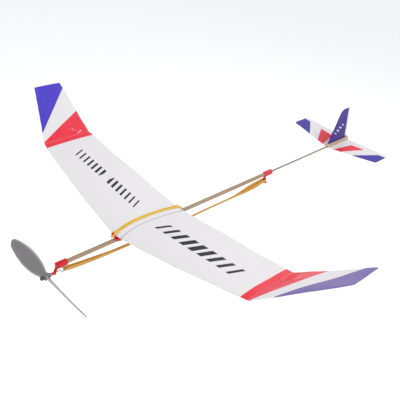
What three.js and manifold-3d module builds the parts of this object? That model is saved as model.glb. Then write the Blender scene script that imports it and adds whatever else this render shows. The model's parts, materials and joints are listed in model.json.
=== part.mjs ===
// Rubber-band-powered stick aeroplane with a folded-tip foam wing.
// Millimetres. +X is forward (towards the propeller), +Y is port (left), +Z is up.
// The pieces are laid out from the stick's axis, with x = 0 where the wing's leading edge
// folds. The whole group is then moved so that its origin lies under the wing seat.
import * as THREE from 'three';
import { mergeVertices } from 'three/addons/utils/BufferGeometryUtils.js';
import Module from 'manifold-3d';

const wasm = await Module();
wasm.setup();

// ---------- driving dimensions ----------
const GAP = 0.3;                 // between neighbouring pieces that only rest on each other
const FIT = 0.12;                // round a rod in the socket it is pushed into

const STICK = { width: 2.7, height: 3.3, front: 79.2, rear: -199.4 };
const SLEEVE = { width: 4.3, height: 4.5 };
const NOSE = { rear: 69.7, mouth: 79.5, front: 80.9, armWidth: 2.8, armBottom: -8.3, lean: 2.2 };
const SHAFT = {
  z: -7.0, radius: 0.45, bore: 0.53, front: 95.0, back: 77.4, lead: 4,
  hookRadius: 2.5, hookNeck: 1.2, hookStart: 35, hookEnd: 300, hookStep: 26.5,
};
const BEARING = { rear: 81.4, front: 86.0, radius: 1.25 };
const WASHER = { rear: 86.3, front: 87.4, radius: 2.1 };
const HUB = { rear: 87.7, front: 93.1, radius: 3.3 };
const HUB_NOSE = { rear: 93.4, front: 96.4, radius: 2.0, wall: 1.1 };
const BLADE = {
  root: 1.5, tip: 60.8, halfChord: 9.1, neckHalf: 1.7, endHalf: 1.6, rootAngle: 34, tipAngle: 27,
  thickness: 1.3, tipThickness: 0.9, rootSwell: 1.4, swellReach: 9, edge: 0.45, camber: 0.045,
  taper: 0.93, fullness: 0.62,
};
const TAIL_HOOK = { front: -194.2, rear: -206.8, legX: -196.2, legWidth: 1.8 };
const LEG_PROFILE = [            // [x, z], with x from legX
  [1.0, -10.4], [-0.6, -12.6], [-3.6, -13.6], [-5.4, -13.0], [-4.4, -11.6],
  [-2.2, -11.2], [-1.1, -9.6], [-1.1, -4.4],
];
const LEG_TOP = { front: 1.0, rear: -3.2 };
const BOOM = { radius: 1.05, front: -200.0, rear: -329.5 };
const BLOCK = {
  front: -315.5, rear: -360.4, width: 3.4, bottom: -1.05, top: 3.9, wall: 1.1, chamfer: 1.2, slotEnd: 0.5,
};
const RUBBER = {
  width: 3.2, turnWidth: 2.3, thickness: 1.0, frontX: 71.3, frontZ: -7.4, rearZ: -7.8, sag: 5.8,
  sagPower: 3.2, frontSpread: 1.35, rearSpread: 1.85, middleSpread: 0.65, gather: 0.2,
  frontReach: 1.8, rearReach: 2.3, turnCorner: 0.75,
};
const WING = {
  thickness: 1.2, z: 6.9, centreHalf: 8.5, camber: 5.6, camberAt: 0.34, foldCamber: 0.7,
  rootLE: 18, rootTE: -60.8, leBow: 2.0, foldY: 150, foldLE: 0, foldTE: -56.6, foldLEz: 26.6,
  foldTEz: 25.8, tipSpan: 79.6, tipLE: -32.6, tipTE: -65.6, portFold: 35.3, starboardFold: 22.3,
};
const SEAT = {
  front: 15.6, rear: -56, plate: 1.1, plateInset: 0.4, web: 2.0, sleeveFront: 10.8, sleeveRear: -46,
  windows: [-4, -26], windowLength: 12, windowBottom: 3.85, windowTop: 7.6, hookWidth: 1.0,
};
const FRONT_HOOK_PROFILE = [     // [x, z], with x from the seat's front
  [-3, 1.9], [-3, 5.2], [2, 5.5], [3.2, 6.1], [3.3, 9.5], [6.3, 10.4], [5.8, 8.4], [4.5, 7.4],
  [4.3, 4.6], [1.8, 1.9],
];
const GRIP_NOSE_PROFILE = [[1.8, 2.25], [0.6, -0.8]];   // [x, z], with x from the seat's front
const REAR_HOOK_TIP = [          // [x, z], with x from the band's rear end
  [-2.6, 5.0], [-3.2, 2.6], [-1.9, 2.6], [-1.2, 3.9],
];
const BAND = {
  width: 1.4, thickness: 0.9, spread: 1.4, nip: 0.85, nipReach: 0.62, front: 20.5, rear: -63.8,
  turnHalf: 0.8, frontTurn: [0.85, -0.6], rearTurn: [-0.05, -1.5],
};
const BAND_FRONT_RISE = [[20.5, 5.9], [20.1, 7.0], [19.5, 8.2], [17.8, 9.6]];
const BAND_REAR_DROP = [[-61.2, 8.3], [-62.4, 7.2], [-63.6, 5.6], [-63.8, 4.4]];
const STAB = {
  thickness: 1.3, rootHalf: 2.3, span: 63.9, rise: 5.6,
  rootLE: -318.6, rootTE: -361.0, tipLE: -328.8, tipTE: -355.4,
};
const FIN = {
  thickness: 1.0, tabDepth: 1.7, tabFront: -318.6, tabRear: -354.0,
  front: -316.8, heel: -354.9, heelRise: 0.6,
  waist: [-322.4, 21], belowWaist: [[-317.6, 10], [-319.4, 15]],
  shoulder: [-331.4, 45], belowShoulder: [[-326, 28], [-326.6, 38]],
  crest: [-336.5, 47.5], belowCrest: [-333.2, 47.4], peak: [-346.4, 47.7], corner: [-348.2, 46.2],
};
const MOUNT_X = (SEAT.sleeveFront + SEAT.sleeveRear) / 2;
const OVERRUN = 1;               // how far a cutting tool runs past the face it cuts

// ---------- small helpers ----------
const V = (x, y, z) => new THREE.Vector3(x, y, z);
const lerp = THREE.MathUtils.lerp;
const rad = THREE.MathUtils.degToRad;

function toManifold(geometry) {
  const bare = geometry.clone();
  bare.deleteAttribute('normal');
  bare.deleteAttribute('uv');
  const merged = mergeVertices(bare, 1e-4);
  return new wasm.Manifold(new wasm.Mesh({
    numProp: 3,
    vertProperties: new Float32Array(merged.attributes.position.array),
    triVerts: new Uint32Array(merged.index.array),
  }));
}

function toGeometry(manifold) {
  const mesh = manifold.getMesh();
  const geometry = new THREE.BufferGeometry();
  geometry.setAttribute('position', new THREE.BufferAttribute(new Float32Array(mesh.vertProperties), 3));
  geometry.setIndex(new THREE.BufferAttribute(new Uint32Array(mesh.triVerts), 1));
  geometry.computeVertexNormals();
  return geometry;
}

const join = (...parts) => toGeometry(parts.map(toManifold).reduce((a, b) => a.add(b)));

function cut(body, ...tools) {
  return toGeometry(tools.map(toManifold).reduce((a, b) => a.subtract(b), toManifold(body)));
}

function box(x0, x1, width, z0, z1) {
  const geometry = new THREE.BoxGeometry(Math.abs(x1 - x0), width, Math.abs(z1 - z0));
  return geometry.translate((x0 + x1) / 2, 0, (z0 + z1) / 2);
}

function rodX(x0, x1, radius, z = 0, sides = 24) {
  const geometry = new THREE.CylinderGeometry(radius, radius, Math.abs(x1 - x0), sides);
  return geometry.rotateZ(Math.PI / 2).translate((x0 + x1) / 2, 0, z);
}

// A plate standing in the centre plane, with its outline given as [x, z] pairs.
function sidePlate(outline, width) {
  const shape = new THREE.Shape(outline.map(([x, z]) => new THREE.Vector2(x, z)));
  const geometry = new THREE.ExtrudeGeometry(shape, { depth: width, bevelEnabled: false });
  return geometry.rotateX(Math.PI / 2).translate(0, width / 2, 0);
}

function signedVolume(points, faces) {
  let sum = 0;
  for (let i = 0; i < faces.length; i += 3) {
    const [a, b, c] = [points[faces[i]], points[faces[i + 1]], points[faces[i + 2]]];
    sum += a.dot(b.clone().cross(c));
  }
  return sum / 6;
}

// Closed skin over a row of rings. Each ring runs along its upper side and back along its lower
// side, so that an end can be capped with a ladder of quads between the two sides.
function skin(rings, loop = false) {
  const size = rings[0].length;
  const points = rings.flat();
  const faces = [];
  const quad = (a, b, c, d) => faces.push(a, b, c, a, c, d);
  const spans = loop ? rings.length : rings.length - 1;
  for (let i = 0; i < spans; i += 1) {
    const a = i * size;
    const b = ((i + 1) % rings.length) * size;
    for (let j = 0; j < size; j += 1) {
      const k = (j + 1) % size;
      quad(a + j, b + j, b + k, a + k);
    }
  }
  if (!loop) {
    const last = (rings.length - 1) * size;
    for (let j = 0; j < size / 2 - 1; j += 1) {
      const under = size - 1 - j;
      quad(j, j + 1, under - 1, under);
      quad(last + j, last + under, last + under - 1, last + j + 1);
    }
  }
  if (signedVolume(points, faces) < 0) faces.reverse();
  const geometry = new THREE.BufferGeometry();
  const array = new Float32Array(points.flatMap((p) => [p.x, p.y, p.z]));
  geometry.setAttribute('position', new THREE.BufferAttribute(array, 3));
  geometry.setIndex(faces);
  geometry.computeVertexNormals();
  return geometry;
}

// A flat band bent into a closed loop along `path`. widthAt(i) is its width there, and
// wideAt(i, along) points across it.
function bandLoop(path, widthAt, thickness, wideAt) {
  const rings = path.map((point, i) => {
    const before = path[(i + path.length - 1) % path.length];
    const after = path[(i + 1) % path.length];
    const along = after.clone().sub(before).normalize();
    const wide = wideAt(i, along);
    wide.addScaledVector(along, -wide.dot(along)).normalize();
    const thin = along.clone().cross(wide);
    const corner = (w, t) => point.clone().addScaledVector(wide, w * widthAt(i) / 2)
      .addScaledVector(thin, t * thickness / 2);
    return [corner(-1, 1), corner(1, 1), corner(1, -1), corner(-1, -1)];
  });
  return skin(rings, true);
}

const group = new THREE.Group();

function addPart(name, geometry, color, roughness, metalness = 0) {
  const material = new THREE.MeshStandardMaterial({ color, roughness, metalness });
  const mesh = new THREE.Mesh(geometry, material);
  mesh.name = name;
  group.add(mesh);
}

const RED = 0xd2182c;
const GREY = 0x87827f;
const DARK_GREY = 0x55575a;
const WOOD = 0xb08c6e;
const BEIGE = 0xd8c4a0;
const FOAM = 0xecebed;
const AMBER = 0xc8913f;
const YELLOW = 0xe0b93a;
const STEEL = 0xb4b6b8;

// ---------- fuselage ----------
function motorStick() {
  return box(STICK.rear, STICK.front, STICK.width, -STICK.height / 2, STICK.height / 2);
}

function stickSocket(x0, x1) {
  const half = STICK.height / 2 + FIT;
  return box(x0, x1, STICK.width + 2 * FIT, -half, half);
}

function sleeve(x0, x1) {
  return box(x0, x1, SLEEVE.width, -SLEEVE.height / 2, SLEEVE.height / 2);
}

// Sleeve over the stick's front end, with an arm down to the propeller shaft's bearing.
function noseBracket() {
  const top = SLEEVE.height / 2;
  const cap = box(NOSE.mouth, NOSE.front, SLEEVE.width, -top, top);
  const arm = sidePlate([
    [NOSE.mouth, top - GAP], [NOSE.front, top - GAP], [NOSE.front, -top],
    [NOSE.front + NOSE.lean, SHAFT.z], [NOSE.front + NOSE.lean, NOSE.armBottom],
    [NOSE.mouth + NOSE.lean, NOSE.armBottom], [NOSE.mouth + NOSE.lean, SHAFT.z], [NOSE.mouth, -top],
  ], NOSE.armWidth);
  const bearing = rodX(BEARING.rear, BEARING.front, BEARING.radius, SHAFT.z);
  const body = join(sleeve(NOSE.rear, NOSE.mouth + GAP), cap, arm, bearing);
  const shaftHole = rodX(BEARING.rear - OVERRUN, BEARING.front + OVERRUN, SHAFT.bore, SHAFT.z);
  return cut(body, stickSocket(NOSE.rear - OVERRUN, NOSE.mouth), shaftHole);
}

// Sleeve over the stick's rear end and the boom's front end, with the leg that holds the rubber.
function tailHook() {
  const { front, rear, legX, legWidth } = TAIL_HOOK;
  const legTop = -SLEEVE.height / 2 + GAP;
  const leg = sidePlate([
    [legX + LEG_TOP.front, legTop],
    ...LEG_PROFILE.map(([x, z]) => [legX + x, z]),
    [legX + LEG_TOP.rear, legTop],
  ], legWidth);
  const boomHole = rodX(rear - OVERRUN, STICK.rear, BOOM.radius + FIT);
  return cut(join(sleeve(rear, front), leg), stickSocket(STICK.rear - FIT, front + OVERRUN), boomHole);
}

function tailBoom() {
  return rodX(BOOM.rear, BOOM.front, BOOM.radius);
}

// Block that carries the tail: a groove below takes the boom, a slot above takes the fin's tab.
function tailBlock() {
  const { front, rear, width, bottom, top, wall, chamfer, slotEnd } = BLOCK;
  const outline = [
    [front, bottom], [front, top - chamfer], [front - chamfer, top], [rear + chamfer, top],
    [rear, top - chamfer], [rear, bottom],
  ];
  const holeFront = front + OVERRUN;
  const boomHole = rodX(BOOM.rear - FIT, holeFront, BOOM.radius + FIT);
  const boomMouth = box(BOOM.rear - FIT, holeFront, 2 * (BOOM.radius + FIT), bottom - OVERRUN, 0);
  const slotFloor = top - FIN.tabDepth - FIT;
  const finSlot = box(
    FIN.tabRear - slotEnd, FIN.tabFront + slotEnd, width - 2 * wall, slotFloor, top + OVERRUN,
  );
  return cut(sidePlate(outline, width), boomHole, boomMouth, finSlot);
}

// ---------- foam sheets ----------
// Mean line of a thin cambered section, 0 at both edges and 1 at its highest point.
function camberLine(t) {
  const p = WING.camberAt;
  return t < p ? (2 * p * t - t * t) / (p * p) : (1 - 2 * p + 2 * p * t - t * t) / ((1 - p) ** 2);
}

// A bent sheet. Each station gives its two edge points, its camber height and its surface normal.
function foamSheet(stations, thickness, steps) {
  const rings = stations.map(({ le, te, camber, normal, stretch = 1 }) => {
    const at = (t, side) => le.clone().lerp(te, t)
      .addScaledVector(normal, camber * camberLine(t) + side * stretch * thickness / 2);
    const ts = Array.from({ length: steps + 1 }, (_, i) => (1 - Math.cos(Math.PI * i / steps)) / 2);
    return [...ts.map((t) => at(t, 1)), ...ts.slice().reverse().map((t) => at(t, -1))];
  });
  return skin(rings);
}

// The wing's stations from the centre out to one tip. `side` is 1 for port and -1 for starboard.
function halfWing(side, foldDegrees) {
  const w = WING;
  const rise = Math.atan2(w.foldLEz - w.z, w.foldY - w.centreHalf);
  const fold = rad(foldDegrees);
  const normalAt = (angle) => V(0, -side * Math.sin(angle), Math.cos(angle));
  const bend = (a, b) => ({ normal: normalAt((a + b) / 2), stretch: 1 / Math.cos((b - a) / 2) });
  const stations = [];
  const panelSteps = 10;
  for (let i = 0; i <= panelSteps; i += 1) {
    const s = i / panelSteps;
    const y = lerp(w.centreHalf, w.foldY, s);
    const across = y / w.foldY;
    const leX = lerp(w.rootLE, w.foldLE, across) + w.leBow * 4 * across * (1 - across);
    const camber = lerp(w.camber, w.foldCamber, s ** 1.3);
    const shape = { normal: normalAt(rise), stretch: 1 };
    if (i === 0) Object.assign(shape, bend(0, rise));
    if (i === panelSteps) Object.assign(shape, bend(rise, fold));
    stations.push({
      le: V(leX, side * y, lerp(w.z, w.foldLEz, s)),
      te: V(lerp(w.rootTE, w.foldTE, across), side * y, lerp(w.z, w.foldTEz, s)),
      camber,
      ...shape,
    });
  }
  const tipSteps = 4;
  for (let i = 1; i <= tipSteps; i += 1) {
    const s = i / tipSteps;
    const out = w.tipSpan * s;
    const y = side * (w.foldY + out * Math.cos(fold));
    const up = out * Math.sin(fold);
    stations.push({
      le: V(lerp(w.foldLE, w.tipLE, s), y, w.foldLEz + up),
      te: V(lerp(w.foldTE, w.tipTE, s), y, w.foldTEz + up),
      camber: w.foldCamber * (1 - s),
      normal: normalAt(fold),
    });
  }
  return stations;
}

function wingSheet() {
  const starboard = halfWing(-1, WING.starboardFold).reverse();
  const port = halfWing(1, WING.portFold);
  return foamSheet([...starboard, ...port], WING.thickness, 10);
}

function stabilizer() {
  const s = STAB;
  const meanZ = BLOCK.bottom - FIT - s.thickness / 2;
  const station = (side, half, z) => {
    const out = (half - s.rootHalf) / (s.span - s.rootHalf);
    return {
      le: V(lerp(s.rootLE, s.tipLE, out), side * half, z),
      te: V(lerp(s.rootTE, s.tipTE, out), side * half, z),
      camber: 0,
      normal: V(0, 0, 1),
    };
  };
  return foamSheet([
    station(-1, s.span, meanZ + s.rise), station(-1, s.rootHalf, meanZ),
    station(1, s.rootHalf, meanZ), station(1, s.span, meanZ + s.rise),
  ], s.thickness, 4);
}

// Upright fin with a swept, slightly wavy front edge, and the tab that stands in the block's slot.
function fin() {
  const foot = BLOCK.top + FIT;
  const tabFoot = BLOCK.top - FIN.tabDepth;
  const outline = new THREE.Shape();
  outline.moveTo(FIN.front, foot);
  outline.bezierCurveTo(...FIN.belowWaist.flat(), ...FIN.waist);
  outline.bezierCurveTo(...FIN.belowShoulder.flat(), ...FIN.shoulder);
  outline.quadraticCurveTo(...FIN.belowCrest, ...FIN.crest);
  outline.lineTo(...FIN.peak);
  outline.lineTo(...FIN.corner);
  outline.lineTo(FIN.heel, foot + FIN.heelRise);
  outline.lineTo(FIN.tabRear, foot);
  outline.lineTo(FIN.tabRear, tabFoot);
  outline.lineTo(FIN.tabFront, tabFoot);
  outline.lineTo(FIN.tabFront, foot);
  const settings = { depth: FIN.thickness, bevelEnabled: false, curveSegments: 8 };
  const sheet = new THREE.ExtrudeGeometry(outline, settings);
  return sheet.rotateX(Math.PI / 2).translate(0, FIN.thickness / 2, 0);
}

// ---------- wing seat and its band ----------
function wingUnderside(x) {
  const t = (WING.rootLE - x) / (WING.rootLE - WING.rootTE);
  return WING.z + WING.camber * camberLine(t) - WING.thickness / 2 - GAP;
}

// Saddle plate under the wing, a web down to the sleeve that slides on the stick, and two band hooks.
function wingSeat() {
  const { front, rear, plate, web, sleeveFront, sleeveRear, hookWidth } = SEAT;
  const sleeveTop = SLEEVE.height / 2;
  const steps = 12;
  const xs = Array.from({ length: steps + 1 }, (_, i) => lerp(front, rear, i / steps));
  const saddle = xs.map((x) => {
    const top = wingUnderside(x);
    const half = WING.centreHalf - SEAT.plateInset;
    return [V(x, -half, top), V(x, half, top), V(x, half, top - plate), V(x, -half, top - plate)];
  });
  const webTop = xs.map((x) => [x, wingUnderside(x) - plate / 2]);
  const webSide = sidePlate([...webTop, [sleeveRear, 0], [front, 0]], web);
  const frontHook = sidePlate(FRONT_HOOK_PROFILE.map(([x, z]) => [front + x, z]), hookWidth);
  const grip = sidePlate([
    [sleeveRear, -sleeveTop], [sleeveRear, sleeveTop],
    ...GRIP_NOSE_PROFILE.map(([x, z]) => [front + x, z]),
    [sleeveFront, -sleeveTop],
  ], SLEEVE.width);
  const tip = wingUnderside(rear);
  const rearHook = sidePlate([
    [rear + 3, tip - 0.3], [rear - 1.5, tip - 1.2], [rear - 3, 5.2],
    ...REAR_HOOK_TIP.map(([x, z]) => [BAND.rear + x, z]),
    [rear, 3.9], [sleeveRear, 1.9], [sleeveRear + 4, 1.9],
  ], hookWidth);
  const windows = SEAT.windows.map((x) => (
    box(x, x - SEAT.windowLength, web + 2 * OVERRUN, SEAT.windowBottom, SEAT.windowTop)
  ));
  const body = cut(join(grip, webSide, frontHook, rearHook), ...windows);
  const socketEnds = [BAND.rear - OVERRUN * 4, BAND.front + OVERRUN * 3];
  return cut(join(skin(saddle), body), stickSocket(...socketEnds));
}

// Loop of rubber laid over the wing from the front hook to the rear hook, as two strands.
function wingBand() {
  const lift = WING.thickness + GAP + FIT + BAND.thickness / 2;
  const profile = [...BAND_FRONT_RISE];
  const steps = 12;
  for (let i = 1; i < steps; i += 1) {
    const x = lerp(WING.rootLE, WING.rootTE, i / steps);
    profile.push([x, wingUnderside(x) + lift]);
  }
  profile.push(...BAND_REAR_DROP);
  const last = profile.length - 1;
  const inward = profile.map((_, i) => {
    const [x0, z0] = profile[Math.max(0, i - 1)];
    const [x1, z1] = profile[Math.min(last, i + 1)];
    return V(z0 - z1, 0, x1 - x0).normalize();
  });
  const spread = (i) => {
    const fromMiddle = Math.abs(2 * i / last - 1) / BAND.nipReach;
    return lerp(BAND.nip, BAND.spread, Math.min(1, fromMiddle) ** 2);
  };
  const strand = (side) => profile.map(([x, z], i) => ({
    point: V(x, side * spread(i), z), normal: inward[i],
  }));
  const turn = (i, [dx, dz], side) => [1, -1].map((k) => ({
    point: V(profile[i][0] + dx, k * side * BAND.turnHalf, profile[i][1] + dz), normal: inward[i],
  }));
  const rope = [
    ...strand(1), ...turn(last, BAND.rearTurn, 1), ...strand(-1).reverse(), ...turn(0, BAND.frontTurn, -1),
  ];
  const wideAt = (i, along) => rope[i].normal.clone().cross(along);
  return bandLoop(rope.map((r) => r.point), () => BAND.width, BAND.thickness, wideAt);
}

// ---------- propeller ----------
function bladePitch(radius) {
  return rad(lerp(BLADE.rootAngle, BLADE.tipAngle, radius / BLADE.tip));
}

function halfChord(radius) {
  const t = radius / BLADE.tip;
  const arch = Math.sin(Math.PI * (t * BLADE.taper) ** BLADE.taper);
  return Math.max(BLADE.neckHalf, BLADE.halfChord * arch ** BLADE.fullness);
}

// One blade along +Y from the shaft's axis, with a cambered section that thins towards the tip.
function blade() {
  const stations = 15;
  const across = 7;
  const rings = [];
  for (let i = 0; i <= stations; i += 1) {
    const s = i / stations;
    const radius = lerp(BLADE.root, BLADE.tip, Math.sin(s * Math.PI / 2));
    const angle = bladePitch(radius);
    const chordwise = V(Math.sin(angle), 0, Math.cos(angle));
    const forward = V(Math.cos(angle), 0, -Math.sin(angle));
    const half = i === stations ? BLADE.endHalf : halfChord(radius);
    const swell = BLADE.rootSwell * Math.exp(-(((radius - BLADE.root) / BLADE.swellReach) ** 2));
    const full = lerp(BLADE.thickness, BLADE.tipThickness, s) + swell;
    const at = (t, face) => {
      const bow = BLADE.camber * 2 * half * (1 - t * t);
      const off = bow + face * lerp(BLADE.edge, full, 1 - t * t) / 2;
      return V(0, radius, 0).addScaledVector(chordwise, t * half).addScaledVector(forward, off);
    };
    const ts = Array.from({ length: across + 1 }, (_, j) => -1 + 2 * j / across);
    rings.push([...ts.map((t) => at(t, 1)), ...ts.slice().reverse().map((t) => at(t, -1))]);
  }
  return skin(rings);
}

function propeller() {
  const middle = (HUB.rear + HUB.front) / 2;
  const place = (geometry, turn) => geometry.rotateX(turn).translate(middle, 0, SHAFT.z);
  const hub = rodX(HUB.rear, HUB.front, HUB.radius, SHAFT.z, 32);
  const body = join(hub, place(blade(), 0), place(blade(), Math.PI));
  return cut(body, rodX(HUB.rear - OVERRUN, HUB.front + OVERRUN, SHAFT.bore, SHAFT.z));
}

function thrustWasher() {
  const ring = rodX(WASHER.rear, WASHER.front, WASHER.radius, SHAFT.z, 28);
  return cut(ring, rodX(WASHER.rear - OVERRUN, WASHER.front + OVERRUN, SHAFT.bore, SHAFT.z));
}

function hubNose() {
  const cap = rodX(HUB_NOSE.rear, HUB_NOSE.front, HUB_NOSE.radius, SHAFT.z, 28);
  const holeEnd = HUB_NOSE.front - HUB_NOSE.wall;
  return cut(cap, rodX(HUB_NOSE.rear - OVERRUN, holeEnd, SHAFT.bore, SHAFT.z));
}

// Straight wire shaft whose rear end is bent into the open hook that turns the rubber.
function propShaft() {
  const r = SHAFT.hookRadius;
  const centre = SHAFT.back - SHAFT.hookNeck - r;
  const points = [V(SHAFT.front, 0, 0), V(SHAFT.back + SHAFT.lead, 0, 0), V(SHAFT.back, 0, 0)];
  for (let degrees = SHAFT.hookStart; degrees <= SHAFT.hookEnd; degrees += SHAFT.hookStep) {
    const a = rad(degrees);
    points.push(V(centre + r * Math.cos(a), 0, -r * Math.sin(a)));
  }
  const path = new THREE.CurvePath();
  path.add(new THREE.LineCurve3(points[0], points[1]));
  path.add(new THREE.CatmullRomCurve3(points.slice(1), false, 'centripetal'));
  const section = new THREE.Shape().absarc(0, 0, SHAFT.radius, 0, 2 * Math.PI, false);
  const settings = { steps: 60, bevelEnabled: false, extrudePath: path, curveSegments: 6 };
  return new THREE.ExtrudeGeometry(section, settings).translate(0, 0, SHAFT.z);
}

// Slack loop of flat rubber from the shaft's hook to the tail hook's leg, as two strands.
function rubberMotor() {
  const front = RUBBER.frontX;
  const rear = TAIL_HOOK.legX;
  const steps = 22;
  const apart = (end, away) => lerp(end, RUBBER.middleSpread, Math.min(1, away / RUBBER.gather));
  const spread = (s) => (s < 0.5 ? apart(RUBBER.frontSpread, s) : apart(RUBBER.rearSpread, 1 - s));
  const height = (s) => lerp(RUBBER.frontZ, RUBBER.rearZ, s)
    - RUBBER.sag * (1 - Math.abs(2 * s - 1) ** RUBBER.sagPower);
  const strand = (side) => Array.from({ length: steps + 1 }, (_, i) => {
    const s = i / steps;
    return V(lerp(front, rear, s), side * spread(s), height(s));
  });
  const corner = RUBBER.turnCorner;
  const turn = (x, z, reach, half) => [corner, 0, -corner].map((k) => (
    V(x + reach * (k === 0 ? 1 : corner), k * half, z)
  ));
  const path = [
    ...strand(1), ...turn(rear, height(1), -RUBBER.rearReach, spread(1)),
    ...strand(-1).reverse(), ...turn(front, height(0), RUBBER.frontReach, -spread(0)),
  ];
  const strandPoints = steps + 1;
  const turnPoints = 3;
  const widthAt = (i) => {
    const along = i % (strandPoints + turnPoints);
    const atTurn = along >= strandPoints || along === 0 || along === steps;
    return atTurn ? RUBBER.turnWidth : RUBBER.width;
  };
  return bandLoop(path, widthAt, RUBBER.thickness, () => V(0, 0, 1));
}

// ---------- assembly ----------
addPart('motor_stick', motorStick(), WOOD, 0.7);
addPart('nose_bracket', noseBracket(), RED, 0.25);
addPart('tail_hook', tailHook(), RED, 0.25);
addPart('tail_boom', tailBoom(), WOOD, 0.6);
addPart('tail_block', tailBlock(), BEIGE, 0.5);
addPart('stabilizer', stabilizer(), FOAM, 0.6);
addPart('fin', fin(), FOAM, 0.6);
addPart('rubber_motor', rubberMotor(), AMBER, 0.5);
addPart('propeller', propeller(), GREY, 0.5);
addPart('thrust_washer', thrustWasher(), STEEL, 0.4);
addPart('hub_nose', hubNose(), DARK_GREY, 0.45);
addPart('prop_shaft', propShaft(), STEEL, 0.3, 1);
addPart('wing_seat', wingSeat(), RED, 0.25);
addPart('wing', wingSheet(), FOAM, 0.6);
addPart('wing_band', wingBand(), YELLOW, 0.5);

group.position.set(-MOUNT_X, 0, SLEEVE.height / 2);

export default group;
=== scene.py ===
"""Looks for the rubber band plane: printed foam sheets, moulded plastic, wood, wire and rubber.

Lengths are in millimetres from the motor stick's axis, with x = 0 where the wing's leading
edge folds, until to_row() turns them into metres in the part's own frame. The camera, the
studio and the scales of the materials are in metres from the start.
"""
import json
import math
from contextlib import contextmanager

import bmesh
import bpy
import numpy as np
from mathutils import Matrix, Vector


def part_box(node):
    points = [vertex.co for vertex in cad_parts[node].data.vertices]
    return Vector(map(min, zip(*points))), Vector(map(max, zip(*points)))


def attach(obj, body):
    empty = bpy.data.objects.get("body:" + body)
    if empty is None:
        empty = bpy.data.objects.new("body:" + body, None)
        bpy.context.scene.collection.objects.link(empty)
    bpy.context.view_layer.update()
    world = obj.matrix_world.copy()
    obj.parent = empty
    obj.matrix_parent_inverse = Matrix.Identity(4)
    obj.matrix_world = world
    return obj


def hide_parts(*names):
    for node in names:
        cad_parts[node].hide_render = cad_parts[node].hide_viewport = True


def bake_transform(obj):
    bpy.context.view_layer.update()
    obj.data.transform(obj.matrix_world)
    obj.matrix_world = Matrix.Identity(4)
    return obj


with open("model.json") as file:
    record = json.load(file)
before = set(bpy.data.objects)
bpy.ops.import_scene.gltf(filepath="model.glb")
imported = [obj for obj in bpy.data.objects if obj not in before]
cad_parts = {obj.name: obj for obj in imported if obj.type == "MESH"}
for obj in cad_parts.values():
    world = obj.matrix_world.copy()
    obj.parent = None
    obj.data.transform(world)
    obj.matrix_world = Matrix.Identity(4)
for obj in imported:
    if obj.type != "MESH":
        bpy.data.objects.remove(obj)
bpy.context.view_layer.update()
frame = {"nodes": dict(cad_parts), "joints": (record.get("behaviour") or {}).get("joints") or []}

MM = 0.001
STICK_FRONT = 79.2                       # the stick's front end, from the wing's fold corner
stick_low, stick_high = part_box("motor_stick")
ORIGIN = np.array([
    stick_high.x - STICK_FRONT * MM,
    (stick_low.y + stick_high.y) / 2,
    (stick_low.z + stick_high.z) / 2,
])
SPIN = next(joint for joint in frame["joints"] if joint["name"] == "propeller_spin")
SHAFT_Z = (SPIN["pos_m"][2] - ORIGIN[2]) / MM


# ---- camera, floor and light ----
def make_camera():
    """Camera in front of the port wing, looking aft and down at the whole plane."""
    data = bpy.data.cameras.new("camera")
    data.lens = 54
    data.sensor_width = 36
    data.clip_start = 0.01
    camera = bpy.data.objects.new("camera", data)
    place = (0.30931, 0.35551, 0.35069)
    right = (-0.72463, 0.68129, 0.10372)
    up = (-0.31622, -0.46243, 0.82835)
    back = (0.61231, 0.56745, 0.55053)
    turn = Matrix((right, up, back)).transposed().to_4x4()
    camera.matrix_world = Matrix.Translation(place) @ turn
    bpy.context.scene.collection.objects.link(camera)
    bpy.context.scene.camera = camera


def make_area_light(name, place, size, power, color):
    """Soft square light that faces the part's origin."""
    data = bpy.data.lights.new(name, "AREA")
    data.shape = "SQUARE"
    data.size = size
    data.energy = power
    data.color = color
    lamp = bpy.data.objects.new(name, data)
    lamp.location = place
    lamp.rotation_mode = "QUATERNION"
    lamp.rotation_quaternion = Vector(place).to_track_quat("Z", "Y")
    bpy.context.scene.collection.objects.link(lamp)


def make_studio():
    """Pale floor well below the plane, a surround that is palest at the horizon, and soft lights."""
    half = 40.0
    level = -0.45
    corners = [(-half, -half, level), (half, -half, level), (half, half, level), (-half, half, level)]
    paint = Paint("floor")
    paint.set(base_color=(0.95, 0.95, 0.95, 1), roughness=0.9)
    paint.set(emission_color=(1, 1, 1, 1), emission_strength=0.37)
    floor = mesh_object("studio_floor", corners, [(0, 1, 2, 3)], paint.material)
    world = bpy.data.worlds.new("studio")
    world.use_nodes = True
    nodes = world.node_tree.nodes
    sky = nodes["Background"]
    sky.inputs["Color"].default_value = (0.97, 0.98, 1.0, 1)
    direction = nodes.new("ShaderNodeTexCoord")
    parts = nodes.new("ShaderNodeSeparateXYZ")
    rise = nodes.new("ShaderNodeMapRange")
    for name, value in (("From Min", 0.0), ("From Max", 0.55), ("To Min", 0.93), ("To Max", 0.5)):
        rise.inputs[name].default_value = value
    links = world.node_tree.links
    links.new(direction.outputs["Generated"], parts.inputs[0])
    links.new(parts.outputs["Z"], rise.inputs["Value"])
    links.new(rise.outputs["Result"], sky.inputs["Strength"])
    bpy.context.scene.world = world
    bpy.context.scene.view_settings.view_transform = "Standard"
    make_area_light("key", (-0.25, 0.75, 1.3), size=0.7, power=9, color=(1.0, 0.985, 0.96))
    make_area_light("fill", (1.1, -0.5, 0.7), size=1.0, power=3, color=(0.96, 0.98, 1.0))
    make_area_light("back", (-1.2, -0.5, 0.9), size=0.8, power=2.5, color=(1.0, 1.0, 1.0))


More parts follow.
